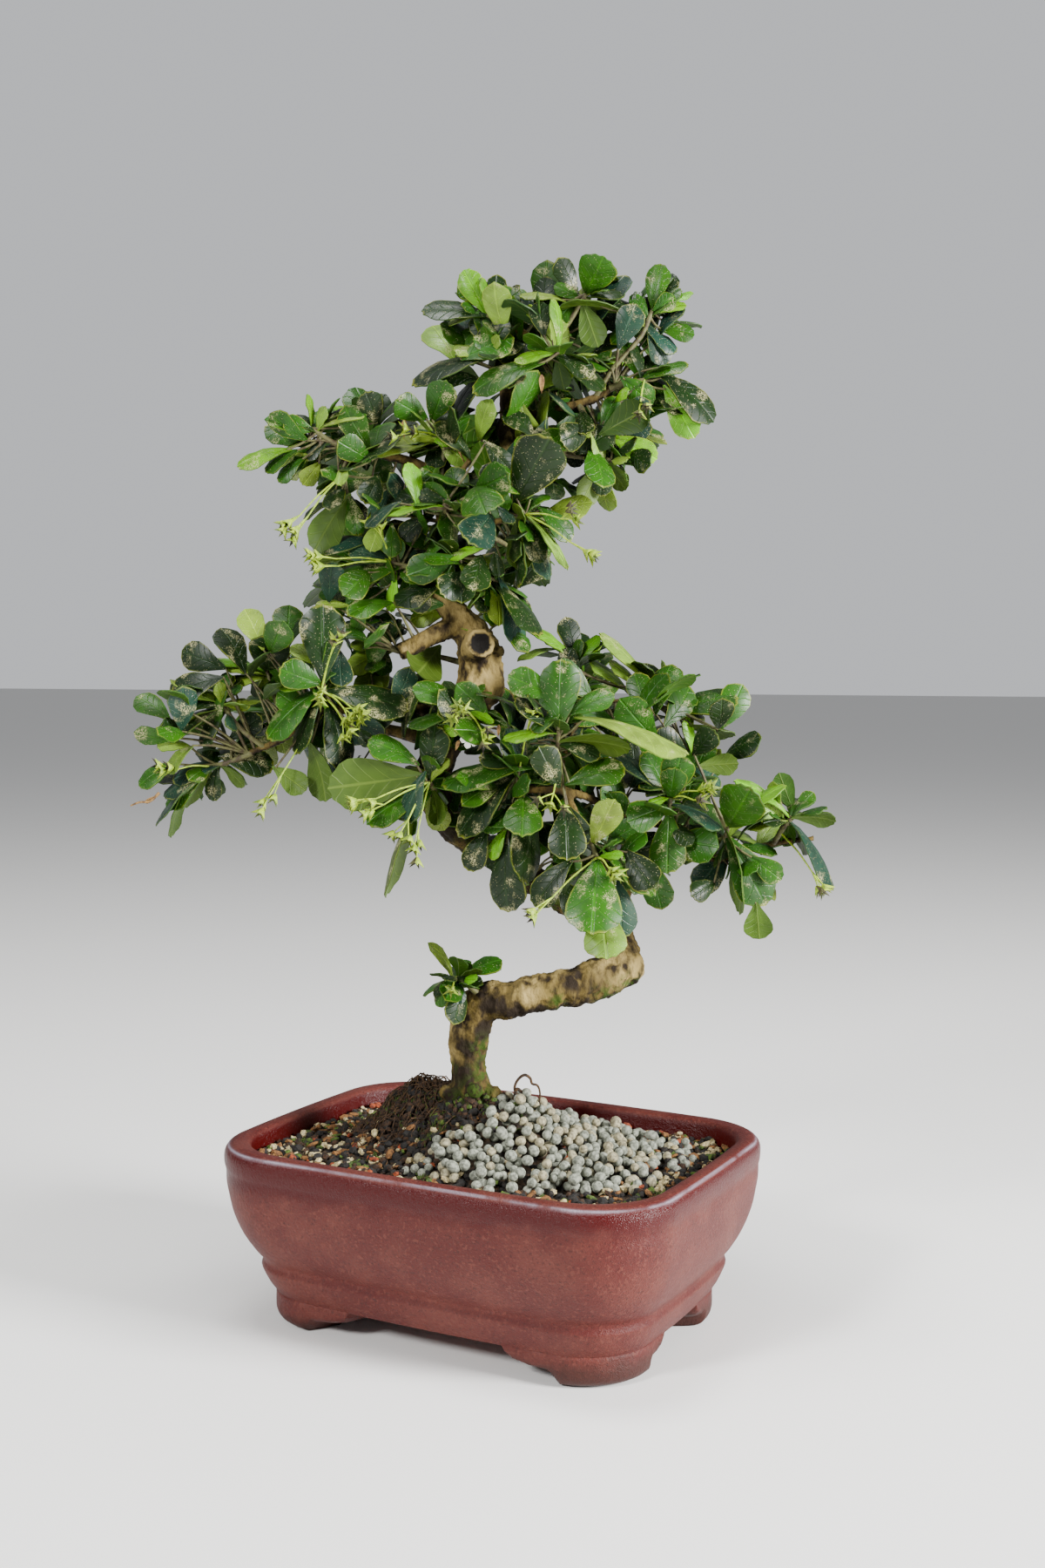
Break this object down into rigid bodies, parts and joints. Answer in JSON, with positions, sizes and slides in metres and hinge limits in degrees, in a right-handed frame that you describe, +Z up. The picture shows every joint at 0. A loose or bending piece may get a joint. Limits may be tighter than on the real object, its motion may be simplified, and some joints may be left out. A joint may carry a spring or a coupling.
{
  "type": "fukien tea bonsai",
  "caption": "Small informal-upright fukien tea bonsai with glossy toothed leaves, standing in soil in a glazed rectangular pot with cloud feet.",
  "frame": {"origin": "bottom centre of the whole object's box", "axes": "+Z up, +X along the pot's long side, the front of the pot towards -Y"},
  "size_m": [0.2052, 0.1434, 0.342],
  "materials": {
    "glazed_stoneware": "satin speckled red-brown glaze with a dark band under the lip",
    "bonsai_soil": "damp dark soil with pale grit and moss",
    "akadama_pellets": "dry grey-beige fertiliser and clay pellets",
    "bark": "rough tan bark with dark plates",
    "leaf": "glossy dark green leaf with pale hair bases"
  },
  "bodies": {
    "root": {"pellets": "akadama_pellets", "pot": "glazed_stoneware", "soil": "bonsai_soil", "spray_apex_front": "leaf", "spray_apex_left_low": "leaf", "spray_apex_left_tip": "leaf", "spray_apex_right_low": "leaf", "spray_apex_right_mid": "leaf", "spray_apex_right_tip": "leaf", "spray_apex_right_under": "leaf", "spray_apex_top": "leaf", "spray_back_apex": "leaf", "spray_back_centre": "leaf", "spray_back_low": "leaf", "spray_back_lower_centre": "leaf", "spray_back_lower_left": "leaf", "spray_back_lower_right": "leaf", "spray_back_mid": "leaf", "spray_back_mid_left": "leaf", "spray_back_upper_left": "leaf", "spray_back_upper_right": "leaf", "spray_basal_sprout": "leaf", "spray_centre": "leaf", "spray_centre_right": "leaf", "spray_front_centre": "leaf", "spray_front_centre_left": "leaf", "spray_front_left": "leaf", "spray_front_left_high": "leaf", "spray_front_low": "leaf", "spray_left_behind": "leaf", "spray_lower_left_back": "leaf", "spray_lower_left_mid": "leaf", "spray_lower_left_tip": "leaf", "spray_lower_left_up": "leaf", "spray_mid_centre": "leaf", "spray_mid_left": "leaf", "spray_mid_right": "leaf", "spray_right_end": "leaf", "spray_right_mid": "leaf", "spray_right_tip": "leaf", "spray_right_up": "leaf", "spray_top_back_right": "leaf", "spray_upper_back": "leaf", "spray_upper_left_mid": "leaf", "spray_upper_left_tip": "leaf", "trunk": "bark"}
  },
  "joints": []
}
